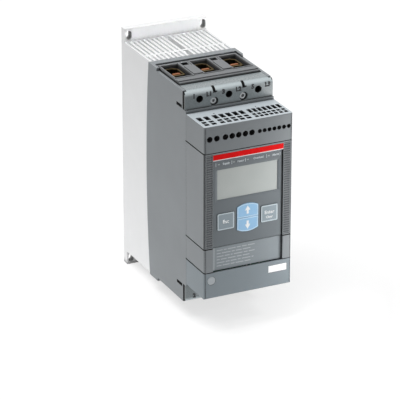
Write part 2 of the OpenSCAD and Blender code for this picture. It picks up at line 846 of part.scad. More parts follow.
module wiring_cover() {
  color("slategray") difference() {
    end_cover(wiring_h);
    span([-shell_x, shell_x], [y_front + 4, y_front + 25],
      [control_top - shell_t - 1, control_top - entry_t]);
    for (x = relay_columns) rimmed_hole(x, hole_z, y_front, shell_t, relay_hole_r, hole_rim);
    for (x = signal_columns) rimmed_hole(x, hole_z, y_front, shell_t, signal_hole_r, hole_rim);
  }
}

module lower_cover() {
  color("slategray") difference() {
    mirror([0, 0, 1]) end_cover(lower_h);
    translate([marker_x, y_front, marker_z]) cube([marker_w, 2 * marker_d, marker_h], center = true);
    rod(mark_x, marker_z, y_front + 0.3, y_front - 1, mark_r);
  }
}

module marker_plate() {
  color("white") translate([marker_x, y_front + marker_d / 2 + 0.05, marker_z])
    cube([marker_w - 0.2, marker_d - 0.1, marker_h - 0.2], center = true);
}

module label_band() {
  color("slategray") difference() {
    union() {
      tall(seam_lower + seam / 2, seam_middle - seam / 2) shell_wall();
      span([-recess_w / 2 - 1.5, recess_w / 2 + 1.5], [y_front + 1, y_front + band_drop + shell_t],
        [seam_lower + seam / 2, seam_middle - seam / 2]);
    }
    span([-recess_w / 2, recess_w / 2], [y_front - 1, y_front + band_drop], [seam_lower, seam_middle]);
  }
}

module rating_plate() {
  color("lightslategray") deep(y_front + band_drop, y_front + band_drop - plate_sheet)
    span_2d([-panel_half, panel_half], [seam_lower + seam / 2, seam_middle - seam / 2]);
}

// Control terminals

module terminal_block(limits, columns, bore_r, entry_w) {
  difference() {
    span(limits, [y_block_front, y_control_front], [block_top - block_h, block_top]);
    for (x = columns) {
      rod(x, hole_z, y_block_front + screw_bore, y_block_front - 1, bore_r);
      translate([x, entry_y, block_top]) cube([entry_w, entry_len, 16], center = true);
    }
    span([limits[0] - 1, limits[1] + 1], [y_block_front - 1, y_block_front + 3],
      [block_top - block_h - 1, block_top - block_h + 4]);
  }
}

module relay_terminal_block() {
  color("darkgreen") terminal_block(relay_block, relay_columns, relay_hole_r - 0.2, relay_entry_w - 0.3);
}

module signal_terminal_block() {
  color("darkgreen") terminal_block(signal_block, signal_columns, signal_hole_r - 0.1, signal_entry_w - 0.2);
}

module slotted_screw(x, r) {
  difference() {
    rod(x, hole_z, y_block_front + screw_bore, y_block_front + screw_sink, r);
    translate([x, y_block_front + screw_sink, hole_z]) cube([3 * r, 1.6, 0.25 * r], center = true);
  }
}

module relay_terminal_screws() {
  color("silver") for (x = relay_columns) slotted_screw(x, relay_hole_r - 0.4);
}

module signal_terminal_screws() {
  color("silver") for (x = signal_columns) slotted_screw(x, signal_hole_r - 0.25);
}

// Operator unit

module operator_housing() {
  cheek_in = recess_w / 2 + 1.5;
  low = seam_middle + seam / 2;
  high = seam_upper - seam / 2;
  color("slategray") difference() {
    union() {
      tall(low, high) shell_wall();
      span([-shell_x - 0.1, shell_x + 0.1], [y_front + 1, y_ledge + ledge_t], [low, high]);
      for (s = sides, z = display_post_z) rod(s * recess_w / 2, z, y_display, y_ledge + ledge_t - 0.1, 2.4);
    }
    span([-recess_w / 2, recess_w / 2], [y_front - 1, y_ledge], [low - 1, strip_z]);
    span([-recess_w / 2, recess_w / 2], [y_front - 1, y_front + strip_d], [strip_z - 1, strip_top]);
    span([-opening_half, opening_half], [y_front - 1, y_display], [low + 4, strip_z - 2]);
    for (s = sides) {
      translate([s * (cheek_in + shell_x) / 2, (y_front + shell_t + y_ledge) / 2 + 5, (low + high) / 2])
        cube([shell_x - cheek_in, y_ledge - y_front - shell_t + 10, high - low - 24 - 2 * shell_t],
          center = true);
      translate([s * (grip_in + grip_out) / 2, y_front, (low + high) / 2])
        cube([grip_out - grip_in, 2 * grip_d, high - low - 4 * grip_rim], center = true);
    }
  }
}

module arrow_outline(grow) {
  intersection() {
    round_rect(arrow_w + 2 * grow, arrow_h + 2 * arrow_crown + 2 * grow, key_corner + grow);
    translate([0, arrow_h / 2 + arrow_crown - arrow_r]) circle(r = arrow_r + grow, $fn = 128);
    translate([0, arrow_r - arrow_h / 2 - arrow_crown]) circle(r = arrow_r + grow, $fn = 128);
  }
}

module operator_panel() {
  color("darkslategray") difference() {
    deep(y_panel_rear, y_panel) difference() {
      span_2d([-panel_half, panel_half], [panel_z, panel_top]);
      translate([0, window_z]) square([window_w, window_h], center = true);
      for (x = lamp_columns) translate([x, lamp_z]) square([lamp_w + 0.2, lamp_h + 0.2], center = true);
      for (s = sides) translate([s * key_x, key_z])
        round_rect(key_w + 2 * key_gap, key_h + 2 * key_gap, key_corner + key_gap);
      translate([0, key_z]) arrow_outline(key_gap);
    }
    translate([0, y_panel_rear - lens_t / 2 - 0.1, window_z])
      cube([window_w + 2 * lens_lap + 0.2, lens_t + 0.22, window_h + 2 * lens_lap + 0.2], center = true);
    for (s = sides) {
      translate([s * window_w / 2, 0, window_z]) tall(-window_h / 2, window_h / 2) window_cut(s);
      translate([0, 0, window_z + s * window_h / 2]) across(window_w + 2 * window_bevel) sill_cut(s);
    }
  }
}

// Bevels at the sides and at the ends of the display window
module window_cut(s) {
  polygon([[-s * 0.1, y_panel - 0.1], [s * window_bevel, y_panel - 0.1], [s * window_bevel, y_panel],
    [0, y_panel + bevel_d], [-s * 0.1, y_panel + bevel_d]]);
}

module sill_cut(s) {
  polygon([[y_panel - 0.1, -s * 0.1], [y_panel - 0.1, s * window_bevel], [y_panel, s * window_bevel],
    [y_panel + bevel_d, 0], [y_panel + bevel_d, -s * 0.1]]);
}

module colour_strip() {
  color("firebrick") deep(y_front + strip_d, y_front)
    span_2d([-recess_w / 2 + fit, recess_w / 2 - fit], [strip_z, strip_top - fit]);
}

module display_window() {
  color("lightcyan") deep(y_panel_rear - 0.1, y_panel_rear - 0.1 - lens_t)
    translate([0, window_z]) round_rect(window_w + 2 * lens_lap, window_h + 2 * lens_lap, 0.4);
}

module display_module() {
  color("darkseagreen") deep(y_display, y_panel_rear + 0.2) difference() {
    translate([0, window_z]) square([window_w + 2 * lens_lap, window_h + 8], center = true);
    for (a = sides, b = sides)
      translate([a * (window_w / 2 - 1), window_z + b * (window_h / 2 + 2.6)]) circle(r = 1.2);
  }
}

module display_board() {
  color("green") deep(y_display + board_t, y_display) difference() {
    span_2d([-display_half, display_half], [seam_middle + 6, seam_upper - 6]);
    for (x = lamp_columns) translate([x, lamp_z + 4]) circle(r = 0.6);
  }
}

module status_lamps() {
  color("honeydew") for (x = lamp_columns)
    translate([x, (y_panel + y_display) / 2, lamp_z])
      cube([lamp_w, y_display - y_panel, lamp_h], center = true);
}

// Key cap with a flange behind the panel and a post that reaches for its switch
module key_stack(x, z) {
  color("gray") union() {
    translate([x, 0, z]) deep(y_flange + 0.1, y_panel - key_rise) children(0);
    translate([x, 0, z]) deep(y_flange + flange_t, y_flange) children(1);
    rod(x, z, y_key_rear, y_flange + 0.5, 1.6);
  }
}

module square_key(x) {
  key_stack(x, key_z) {
    round_rect(key_w, key_h, key_corner);
    round_rect(key_w + 2 * flange_lap, key_h + 2 * flange_lap, key_corner);
  }
}

module arrow_half(grow, lap) {
  translate([0, -arrow_h / 4]) intersection() {
    arrow_outline(grow);
    translate([0, arrow_split - lap + arrow_h]) square([2 * arrow_w, 2 * arrow_h], center = true);
  }
}

module arrow_key() {
  key_stack(0, arrow_h / 4) {
    arrow_half(0, 0);
    arrow_half(flange_lap, 0);
  }
}

module exit_key() { square_key(-key_x); }
module select_key() { square_key(key_x); }
module up_key() { color("skyblue") translate([0, 0, key_z]) arrow_key(); }
module down_key() { color("skyblue") translate([0, 0, key_z]) mirror([0, 0, 1]) arrow_key(); }

module key_switches() {
  color("dimgray") {
    for (s = sides) {
      rod(s * key_x, key_z, y_display, y_display - switch_h, 3.4);
      rod(0, key_z + s * arrow_h / 4, y_display, y_display - switch_h, 3.4);
    }
  }
}

heat_sink();
base_housing();
line_terminal_shroud();
load_terminal_shroud();
line_terminal_cover();
load_terminal_cover();
line_cover_screws();
load_cover_screws();
line_clamp_1();
line_clamp_2();
line_clamp_3();
load_clamp_1();
load_clamp_2();
load_clamp_3();
line_clamp_screws();
load_clamp_screws();
line_busbar_1();
line_busbar_3();
load_busbar_1();
load_busbar_3();
through_busbar_2();
thyristor_module_1();
thyristor_module_3();
busbar_insulator();
module_screws();
busbar_screws();
bypass_relay_1();
bypass_relay_3();
current_transformer_1();
current_transformer_3();
power_board();
board_connector();
control_board();
board_screws();
housing_screws();
wiring_cover();
relay_terminal_block();
signal_terminal_block();
relay_terminal_screws();
signal_terminal_screws();
operator_housing();
operator_panel();
colour_strip();
display_window();
display_module();
display_board();
status_lamps();
exit_key();
up_key();
down_key();
select_key();
key_switches();
label_band();
rating_plate();
lower_cover();
marker_plate();
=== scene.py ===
from math import radians

import bmesh
import bpy
from mathutils import Matrix, Vector


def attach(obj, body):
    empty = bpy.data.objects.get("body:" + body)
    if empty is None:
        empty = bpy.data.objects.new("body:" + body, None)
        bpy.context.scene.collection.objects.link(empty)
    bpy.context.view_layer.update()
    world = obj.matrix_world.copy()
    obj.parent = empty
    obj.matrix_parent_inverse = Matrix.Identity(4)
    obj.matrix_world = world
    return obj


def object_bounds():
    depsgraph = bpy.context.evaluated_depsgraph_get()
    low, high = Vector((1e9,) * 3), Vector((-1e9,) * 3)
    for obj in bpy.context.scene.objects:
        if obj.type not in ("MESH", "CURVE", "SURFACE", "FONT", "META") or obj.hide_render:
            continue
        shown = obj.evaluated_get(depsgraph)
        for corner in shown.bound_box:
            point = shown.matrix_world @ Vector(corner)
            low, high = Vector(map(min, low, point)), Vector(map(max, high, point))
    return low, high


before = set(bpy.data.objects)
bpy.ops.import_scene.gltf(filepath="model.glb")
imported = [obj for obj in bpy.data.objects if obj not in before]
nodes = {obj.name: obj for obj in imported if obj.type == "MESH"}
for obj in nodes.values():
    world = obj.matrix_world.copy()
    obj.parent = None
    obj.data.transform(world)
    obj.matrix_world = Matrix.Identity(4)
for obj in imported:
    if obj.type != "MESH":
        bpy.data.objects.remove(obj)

mm = 0.001
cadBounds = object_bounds()
scene = bpy.context.scene
scene.view_settings.view_transform = "Standard"
print("frame loaded:", len(nodes), "nodes")


# Camera at the photograph's angle, lens centred
photoCamera = {
    "place": (-1.03488, -2.25101, 0.98998),
    "turn": 25.523,
    "tilt": 23.064,
    "lens": 245.68,
    "sensor": 36.0,
    "reach": 20.0,
}
cameraData = bpy.data.cameras.new("photoCamera")
cameraData.lens = photoCamera["lens"]
cameraData.sensor_width = photoCamera["sensor"]
cameraData.clip_end = photoCamera["reach"]
camera = bpy.data.objects.new("photoCamera", cameraData)
camera.location = photoCamera["place"]
camera.rotation_euler = (radians(90 - photoCamera["tilt"]), 0, radians(-photoCamera["turn"]))
scene.collection.objects.link(camera)
scene.camera = camera
print("camera set")


# Small helpers for material trees; lengths are in mm
def newMaterial(name):
    material = bpy.data.materials.new(name)
    material.use_nodes = True
    tree = material.node_tree
    return material, tree, tree.nodes["Principled BSDF"]


def addNode(tree, kind, values=None, **settings):
    node = tree.nodes.new(kind)
    for name, value in settings.items():
        setattr(node, name, value)
    for name, value in (values or {}).items():
        node.inputs[name].default_value = value
    return node


def objectPoints(tree, stretch=(1, 1, 1)):
    coords = addNode(tree, "ShaderNodeTexCoord")
    mapping = addNode(tree, "ShaderNodeMapping", {"Scale": stretch})
    tree.links.new(coords.outputs["Object"], mapping.inputs["Vector"])
    return mapping.outputs["Vector"]


def uprightPoints(tree, points):
    turned = addNode(tree, "ShaderNodeMapping", {"Rotation": (radians(90), 0, 0)})
    tree.links.new(points, turned.inputs["Vector"])
    return turned.outputs["Vector"]


def splitAxes(tree, vector):
    node = addNode(tree, "ShaderNodeSeparateXYZ")
    tree.links.new(vector, node.inputs["Vector"])
    return node.outputs


def noiseField(tree, points, scale, detail=2.0, roughness=0.5):
    noise = addNode(tree, "ShaderNodeTexNoise", {"Scale": scale, "Detail": detail, "Roughness": roughness})
    tree.links.new(points, noise.inputs["Vector"])
    return noise.outputs["Fac"]


def spread(tree, field, low, high, fromLow=0.3, fromHigh=0.7):
    node = addNode(tree, "ShaderNodeMapRange")
    for name, value in zip(("From Min", "From Max", "To Min", "To Max"), (fromLow, fromHigh, low, high)):
        node.inputs[name].default_value = value
    tree.links.new(field, node.inputs["Value"])
    return node.outputs["Result"]


def mathField(tree, operation, first, second=None, number=None):
    node = addNode(tree, "ShaderNodeMath", operation=operation)
    tree.links.new(first, node.inputs[0])
    if second is not None:
        tree.links.new(second, node.inputs[1])
    if number is not None:
        node.inputs[1].default_value = number
    return node.outputs["Value"]


def blendColours(tree, factor, first, second):
    node = addNode(tree, "ShaderNodeMix", data_type="RGBA")
    tree.links.new(factor, node.inputs[0])
    for socket, colour in ((node.inputs[6], first), (node.inputs[7], second)):
        if isinstance(colour, tuple):
            socket.default_value = colour + (1.0,)
        else:
            tree.links.new(colour, socket)
    return node.outputs[2]


def shaded(colour, factor):
    return tuple(min(1.0, part * factor) for part in colour)


# A colour that drifts between a darker and a paler shade of itself
def varied(tree, field, colour, dark, pale):
    return blendColours(tree, spread(tree, field, 0, 1), shaded(colour, dark), shaded(colour, pale))


def bumpNormal(tree, field, strength, height, under=None):
    node = addNode(tree, "ShaderNodeBump", {"Strength": strength, "Distance": height * mm})
    tree.links.new(field, node.inputs["Height"])
    if under is not None:
        tree.links.new(under, node.inputs["Normal"])
    return node.outputs["Normal"]


def feed(tree, shader, colour, rough, normal=None):
    tree.links.new(colour, shader.inputs["Base Color"])
    tree.links.new(rough, shader.inputs["Roughness"])
    if normal is not None:
        tree.links.new(normal, shader.inputs["Normal"])


# Masks: 1 along the edges, 1 deep in holes and seams, or 1 inside a box
maskLook = {"edge": (0.75, 0.99), "crease": (0.4, 0.84), "edgeSamples": 4, "creaseSamples": 6}


def roundedNormal(tree, radius):
    node = addNode(tree, "ShaderNodeBevel", {"Radius": radius * mm}, samples=maskLook["edgeSamples"])
    return node.outputs["Normal"]


def edgeMask(tree, rounded):
    geometry = addNode(tree, "ShaderNodeNewGeometry")
    dot = addNode(tree, "ShaderNodeVectorMath", operation="DOT_PRODUCT")
    tree.links.new(rounded, dot.inputs[0])
    tree.links.new(geometry.outputs["Normal"], dot.inputs[1])
    return spread(tree, dot.outputs["Value"], 1, 0, *maskLook["edge"])


def creaseMask(tree, reach):
    node = addNode(tree, "ShaderNodeAmbientOcclusion", {"Distance": reach * mm},
                   samples=maskLook["creaseSamples"])
    return spread(tree, node.outputs["AO"], 1, 0, *maskLook["crease"])


def boxMask(tree, points, across, along, up, bothEnds=True):
    place = splitAxes(tree, points)
    mask = None
    for axis, (low, high) in zip("XYZ", (across, along, up)):
        field = place[axis]
        if axis == "X" or axis == "Z" and bothEnds:  # the same left and right, and at both ends
            field = mathField(tree, "ABSOLUTE", field)
        offset = mathField(tree, "ABSOLUTE", mathField(tree, "SUBTRACT", field, number=(low + high) / 2 * mm))
        insideShade = mathField(tree, "LESS_THAN", offset, number=(high - low) / 2 * mm)
        mask = insideShade if mask is None else mathField(tree, "MULTIPLY", mask, insideShade)
    return mask


# Painted shade in seams, gaps and holes: each box is across, along and up
blackSpots = {
    "gap": ((44.2, 45.5), (-144.9, -140.9), (88.2, 105.4)),
    "latch": ((43.0, 45.5), (-139.1, -127.5), (88.3, 91.5)),
    "slit": ((13.6, 16.4), (-145.7, -140.5), (100.8, 106.6)),
    "pocket": ((11.5, 18.5), (-85.2, -78.2), (95.0, 107.4)),
    "middleDriver": ((-1.0, 3.7), (-145.55, -141.0), (93.0, 100.8)),
    "outerDriver": ((26.3, 33.7), (-145.55, -141.0), (93.0, 100.8)),
    "wireScrew": ((-1.0, 43.4), (-186.42, -178.0), (69.5, 76.7)),
    "outerSeams": ((44.0, 45.5), (-187.0, -147.0), (58.5, 59.9)),
    "middleSeam": ((-1.0, 45.5), (-187.0, -147.0), (-36.1, -34.9), False),
    "frontCorner": ((44.4, 45.5), (-187.0, -185.3), (-35.0, 58.6), False),
}

# Moulded plastic: fine spark-eroded grain, slow change of tone, edges paler from wear and painted highlight,
# and painted shade, rougher, in creases
plasticLook = {"patch": 22, "patchDetail": 3, "grainHigh": 0.04, "sheen": 0.06, "rubbedAndLit": (0.5, 1),
               "black": 0.03, "litEndFace": (0.7, 0.95), "slope": (0.1, 0.42), "wellShade": 0.92}


def mouldedPlastic(name, colour, rough=0.42, grain=0.45, bump=0.12, tone=0.05, edge=1.25, radius=0.35,
                   top=1.0, roundingHighlight=1.0, crease=5.0, depth=None, shades=()):
    material, tree, shader = newMaterial(name)
    points = objectPoints(tree)
    slow = noiseField(tree, points, plasticLook["patch"], plasticLook["patchDetail"])
    fine = noiseField(tree, points, 1 / (grain * mm))
    rounded = roundedNormal(tree, radius)
    body = varied(tree, slow, colour, 1 - tone, 1 + tone)
    facing = splitAxes(tree, addNode(tree, "ShaderNodeNewGeometry").outputs["Normal"])
    if top != 1.0:  # painted light: end faces paler than the sides
        litEndFace = spread(tree, mathField(tree, "ABSOLUTE", facing["Z"]), 0, 1, *plasticLook["litEndFace"])
        body = blendColours(tree, litEndFace, body, shaded(colour, top))
    if roundingHighlight != 1.0:  # painted highlight on the rounded long edge
        slope = mathField(tree, "ABSOLUTE", mathField(tree, "MULTIPLY", facing["Y"], facing["Z"]))
        sloping = spread(tree, slope, 0, 1, *plasticLook["slope"])
        body = blendColours(tree, sloping, body, shaded(colour, roundingHighlight))
    # edges paler: partly wear, partly painted highlight
    rubbedAndLit = mathField(tree, "MULTIPLY", edgeMask(tree, rounded), spread(tree, fine, *plasticLook["rubbedAndLit"]))
    wornAndLit = blendColours(tree, rubbedAndLit, body, shaded(colour, edge))
    # painted shade in creases, holes and seams, found by occlusion
    paintedShade = creaseMask(tree, crease)
    if depth:  # painted shade down in the wells
        height = mathField(tree, "ABSOLUTE", splitAxes(tree, points)["Z"])
        down = spread(tree, height, plasticLook["wellShade"], 0, *(level * mm for level in depth))
        paintedShade = mathField(tree, "MAXIMUM", paintedShade, down)
    # painted shade in the listed boxes
    for spot in shades:
        paintedShade = mathField(tree, "MAXIMUM", paintedShade, boxMask(tree, points, *blackSpots[spot]))
    grained = spread(tree, fine, rough - plasticLook["sheen"], rough + plasticLook["sheen"])
    feed(tree, shader, blendColours(tree, paintedShade, wornAndLit, shaded(colour, plasticLook["black"])),
         mathField(tree, "MAXIMUM", grained, paintedShade),
         bumpNormal(tree, fine, bump, plasticLook["grainHigh"], rounded))
    return material


# Grip field: painted shade between its points, paler on their tips
gripLook = {"valleyShade": (0.02, 0.024, 0.028), "tip": (0.22, 0.238, 0.252), "depth": (-186.25, -186.4),
            "grain": 1500, "rubbedAndLit": (0.75, 1), "rough": (0.5, 0.65)}


def gripPoints(name):
    material, tree, shader = newMaterial(name)
    points = objectPoints(tree)
    fine = noiseField(tree, points, gripLook["grain"])
    height = spread(tree, splitAxes(tree, points)["Y"], 0, 1, *(value * mm for value in gripLook["depth"]))
    rubbedAndLit = mathField(tree, "MULTIPLY", height, spread(tree, fine, *gripLook["rubbedAndLit"]))
    feed(tree, shader, blendColours(tree, rubbedAndLit, gripLook["valleyShade"], gripLook["tip"]),
         spread(tree, fine, *gripLook["rough"]))
    return material


# Metal with lines drawn along one axis and a little tarnish, painted shade in creases and low down, painted
# light between the fins
metalLook = {"patch": 45, "patchDetail": 4, "lineDetail": 3, "noise": 0.6, "line": 0.93, "lineHigh": 0.03,
             "sheen": 0.07, "radius": 0.25, "finReach": 6.0, "insideShade": 0.12, "black": 0.05}


def drawnMetal(name, colour, rough=0.35, lines=(1, 1, 0.02), pitch=0.4, tarnish=0.85, bump=0.1, metal=1.0,
               crease=0, creaseFrom=None, rim=None, hollowLight=1.0):
    material, tree, shader = newMaterial(name)
    points = objectPoints(tree)
    streaks = noiseField(tree, objectPoints(tree, lines), 1 / (pitch * mm), metalLook["lineDetail"],
                         metalLook["noise"])
    clouds = noiseField(tree, points, metalLook["patch"], metalLook["patchDetail"], metalLook["noise"])
    body = varied(tree, clouds, colour, tarnish, 1)
    drawn = blendColours(tree, spread(tree, streaks, 0, 1), shaded(colour, metalLook["line"]), body)
    if hollowLight != 1.0:  # painted light between the fins
        drawn = blendColours(tree, creaseMask(tree, metalLook["finReach"]), drawn, shaded(colour, hollowLight))
    if rim:  # painted shade below the top end of the piece, down in the wells
        height = mathField(tree, "ABSOLUTE", splitAxes(tree, points)["Z"])
        end = spread(tree, height, 0, 1, *(level * mm for level in rim))
        drawn = blendColours(tree, end, shaded(colour, metalLook["insideShade"]), drawn)
    # painted shade in creases, holes and sockets
    if crease:
        paintedShade = creaseMask(tree, crease)
        if creaseFrom:  # painted shade only in the slots at both ends
            paintedShade = mathField(tree, "MULTIPLY", paintedShade, boxMask(tree, points, *creaseFrom))
        drawn = blendColours(tree, paintedShade, drawn, shaded(colour, metalLook["black"]))
    feed(tree, shader, drawn, spread(tree, streaks, rough - metalLook["sheen"], rough + metalLook["sheen"]),
         bumpNormal(tree, streaks, bump, metalLook["lineHigh"], roundedNormal(tree, metalLook["radius"])))
    shader.inputs["Metallic"].default_value = metal
    return material


# Printing ink, slightly uneven
inkLook = {"patch": 900, "tones": (0.93, 1.04), "sheen": 0.08}


def printInk(name, colour, rough=0.55, gloss=0.5):
    material, tree, shader = newMaterial(name)
    patch = noiseField(tree, objectPoints(tree), inkLook["patch"])
    feed(tree, shader, varied(tree, patch, colour, *inkLook["tones"]),
         spread(tree, patch, rough - inkLook["sheen"], rough + inkLook["sheen"]))
    shader.inputs["Specular IOR Level"].default_value = gloss
    return material


# Sheet or film with a faint grain along its length
filmLook = {"patch": 18, "lines": (0.05, 1, 1), "pitch": 0.5, "tones": (0.95, 1.05), "sheen": (-0.05, 0.08),
            "bump": 0.06, "lineHigh": 0.03, "radius": 0.2}


def satinFilm(name, colour, rough=0.45):
    material, tree, shader = newMaterial(name)
    streaks = noiseField(tree, objectPoints(tree, filmLook["lines"]), 1 / (filmLook["pitch"] * mm))
    slow = noiseField(tree, objectPoints(tree), filmLook["patch"])
    mean = mathField(tree, "MULTIPLY", mathField(tree, "ADD", streaks, slow), number=0.5)
    rounded = roundedNormal(tree, filmLook["radius"])
    feed(tree, shader, varied(tree, mean, colour, *filmLook["tones"]),
         spread(tree, streaks, *(rough + step for step in filmLook["sheen"])),
         bumpNormal(tree, streaks, filmLook["bump"], filmLook["lineHigh"], rounded))
    return material


# Laminate with tracks and pads under green lacquer
boardLook = {"lacquer": (0.02, 0.12, 0.05), "track": (0.05, 0.22, 0.09), "pad": (0.55, 0.52, 0.42),
             "tracks": {"Scale": 90.0, "Mortar Size": 0.02, "Brick Width": 0.7, "Row Height": 0.18},
             "pads": {"Scale": 260.0, "Randomness": 0.6}, "padEdge": (0.12, 0.16),
             "patch": 300, "rough": (0.25, 0.4), "bump": 0.2, "trackHigh": 0.03}


def circuitBoard(name):
    material, tree, shader = newMaterial(name)
    points = objectPoints(tree)
    tracks = addNode(tree, "ShaderNodeTexBrick", boardLook["tracks"])
    tree.links.new(uprightPoints(tree, points), tracks.inputs["Vector"])
    pads = addNode(tree, "ShaderNodeTexVoronoi", boardLook["pads"])
    tree.links.new(points, pads.inputs["Vector"])
    lined = blendColours(tree, tracks.outputs["Fac"], boardLook["lacquer"], boardLook["track"])
    dotted = spread(tree, pads.outputs["Distance"], 1, 0, *boardLook["padEdge"])
    feed(tree, shader, blendColours(tree, dotted, lined, boardLook["pad"]),
         spread(tree, noiseField(tree, points, boardLook["patch"]), *boardLook["rough"]),
         bumpNormal(tree, tracks.outputs["Fac"], boardLook["bump"], boardLook["trackHigh"]))
    return material


# Colour strip: red with a white line along its lower edge
stripLook = {"red": (0.74, 0.006, 0.007), "white": (0.82, 0.82, 0.82), "lineTop": 51.9, "patch": 400,
             "tones": (0.92, 1.06), "rough": (0.42, 0.56), "gloss": 0.06}


def colourStrip(name):
    material, tree, shader = newMaterial(name)
    points = objectPoints(tree)
    below = mathField(tree, "LESS_THAN", splitAxes(tree, points)["Z"], number=stripLook["lineTop"] * mm)
    patch = noiseField(tree, points, stripLook["patch"])
    red = varied(tree, patch, stripLook["red"], *stripLook["tones"])
    feed(tree, shader, blendColours(tree, below, red, stripLook["white"]),
         spread(tree, patch, *stripLook["rough"]))
    shader.inputs["Specular IOR Level"].default_value = stripLook["gloss"]
    return material


# Reflective display: pale ground with a faint cell grid
displayLook = {"ground": (0.46, 0.49, 0.47), "cell": (0.43, 0.46, 0.44), "pitch": 0.6, "line": 0.08,
               "patch": 30, "tones": (0.96, 1.03), "rough": (0.4, 0.55)}


def displayGround(name):
    material, tree, shader = newMaterial(name)
    points = objectPoints(tree)
    pitch = displayLook["pitch"] * mm
    grid = {"Scale": 1.0, "Mortar Size": displayLook["line"] * pitch, "Brick Width": pitch,
            "Row Height": pitch}
    cells = addNode(tree, "ShaderNodeTexBrick", grid, offset=0.0)
    tree.links.new(uprightPoints(tree, points), cells.inputs["Vector"])
    slow = noiseField(tree, points, displayLook["patch"])
    ground = varied(tree, slow, displayLook["ground"], *displayLook["tones"])
    feed(tree, shader, blendColours(tree, cells.outputs["Fac"], displayLook["cell"], ground),
         spread(tree, slow, *displayLook["rough"]))
    return material


# Display window: pale haze over the cells, with a smooth gloss
windowLook = {"tints": ((0.52, 0.555, 0.54), (0.545, 0.575, 0.56)), "smear": 60, "smearDetail": 3,
              "rough": (0.12, 0.2), "alpha": 0.8}


def clearWindow(name):
    material, tree, shader = newMaterial(name)
    smear = noiseField(tree, objectPoints(tree), windowLook["smear"], windowLook["smearDetail"])
    feed(tree, shader, blendColours(tree, spread(tree, smear, 0, 1), *windowLook["tints"]),
         spread(tree, smear, *windowLook["rough"]))
    shader.inputs["Alpha"].default_value = windowLook["alpha"]
    return material


finishes = {material.name: material for material in (
    # edges paler from wear and painted highlight; painted shade in seams, latch and front corner
    mouldedPlastic("greyPlastic", (0.19, 0.207, 0.219), edge=1.9, radius=0.5,
                   shades=("gap", "latch", "outerSeams", "middleSeam", "frontCorner")),
    # painted highlight on the rounded edge; painted shade in gap, latch, slits and driver holes
    mouldedPlastic("coverPlastic", (0.228, 0.258, 0.267), rough=0.28, grain=0.6, bump=0.04, roundingHighlight=2.0,
                   shades=("gap", "latch", "slit", "middleDriver", "outerDriver")),
    # painted light on the top and bottom faces; painted shade in screw holes and seams
    mouldedPlastic("wiringPlastic", (0.166, 0.183, 0.194), top=2.83, shades=("wireScrew", "outerSeams")),
    mouldedPlastic("lowerPlastic", (0.182, 0.215, 0.236)),
    gripPoints("gripPlastic"),
    # painted shade down in the wells and pockets; edges paler from wear and painted highlight
    mouldedPlastic("shroudPlastic", (0.15, 0.158, 0.165), rough=0.5, edge=2.4, radius=0.5,
                   depth=(106.0, 107.7), shades=("pocket",)),
    mouldedPlastic("blockPlastic", (0.035, 0.037, 0.04), rough=0.5),
    mouldedPlastic("modulePlastic", (0.03, 0.03, 0.034), rough=0.45, grain=0.8),
    mouldedPlastic("insulatorRed", (0.42, 0.06, 0.045), rough=0.5, tone=0.14),
    mouldedPlastic("relayBlue", (0.04, 0.07, 0.2), rough=0.4),
    mouldedPlastic("switchBlack", (0.03, 0.03, 0.03), rough=0.45),
    mouldedPlastic("keyGrey", (0.222, 0.272, 0.302), rough=0.45, grain=0.3, bump=0.06, edge=1.5),
    mouldedPlastic("keyBlue", (0.27, 0.48, 0.70), rough=0.45, grain=0.3, bump=0.06, edge=1.3, crease=0.2),
    mouldedPlastic("lampClear", (0.33, 0.36, 0.36), rough=0.3, bump=0.03),
    mouldedPlastic("markerWhite", (0.86, 0.86, 0.86), rough=0.5, tone=0.015, edge=1.0),
    # painted light between the fins; painted shade in the slots at the plate's ends
    drawnMetal("extrudedAluminium", (0.78, 0.785, 0.79), rough=0.45, tarnish=0.95, metal=0.25, hollowLight=1.22,
               crease=9.0, creaseFrom=((0, 50), (-20, 1), (109.5, 123))),
    drawnMetal("brightSteel", (0.66, 0.67, 0.67), rough=0.3, lines=(1, 0.1, 1), pitch=0.3, crease=3.0),
    drawnMetal("terminalSteel", (0.12, 0.12, 0.125), rough=0.4, pitch=0.3, crease=4.0),
    # painted shade low down in the wells for brass and copper
    drawnMetal("clampBrass", (0.25, 0.185, 0.09), rough=0.42, pitch=0.5, tarnish=0.7, rim=(103.7, 104.3)),
    drawnMetal("barCopper", (0.42, 0.15, 0.05), rough=0.42, pitch=0.5, tarnish=0.75, rim=(103.9, 104.8)),
    satinFilm("panelFilm", (0.108, 0.126, 0.138), rough=0.5),
    satinFilm("plateSheet", (0.2, 0.228, 0.245)),
    satinFilm("discSheet", (0.36, 0.39, 0.41), rough=0.4),
    circuitBoard("boardGreen"),
    colourStrip("stripRed"),
    displayGround("displayPale"),
    clearWindow("windowClear"),
    printInk("whiteInk", (0.82, 0.84, 0.85)),
    printInk("paleInk", (0.6, 0.64, 0.67)),
    # painted highlights for the key rims
    printInk("rimInk", (0.5, 0.57, 0.61)),
    printInk("rimBlueInk", (0.5, 0.68, 0.84)),
    printInk("tableInk", (0.36, 0.39, 0.41)),
    printInk("darkInk", (0.025, 0.027, 0.03)),
    printInk("shadeInk", (0.006, 0.006, 0.007), rough=0.8, gloss=0.05),
)}
print("materials made:", len(finishes))


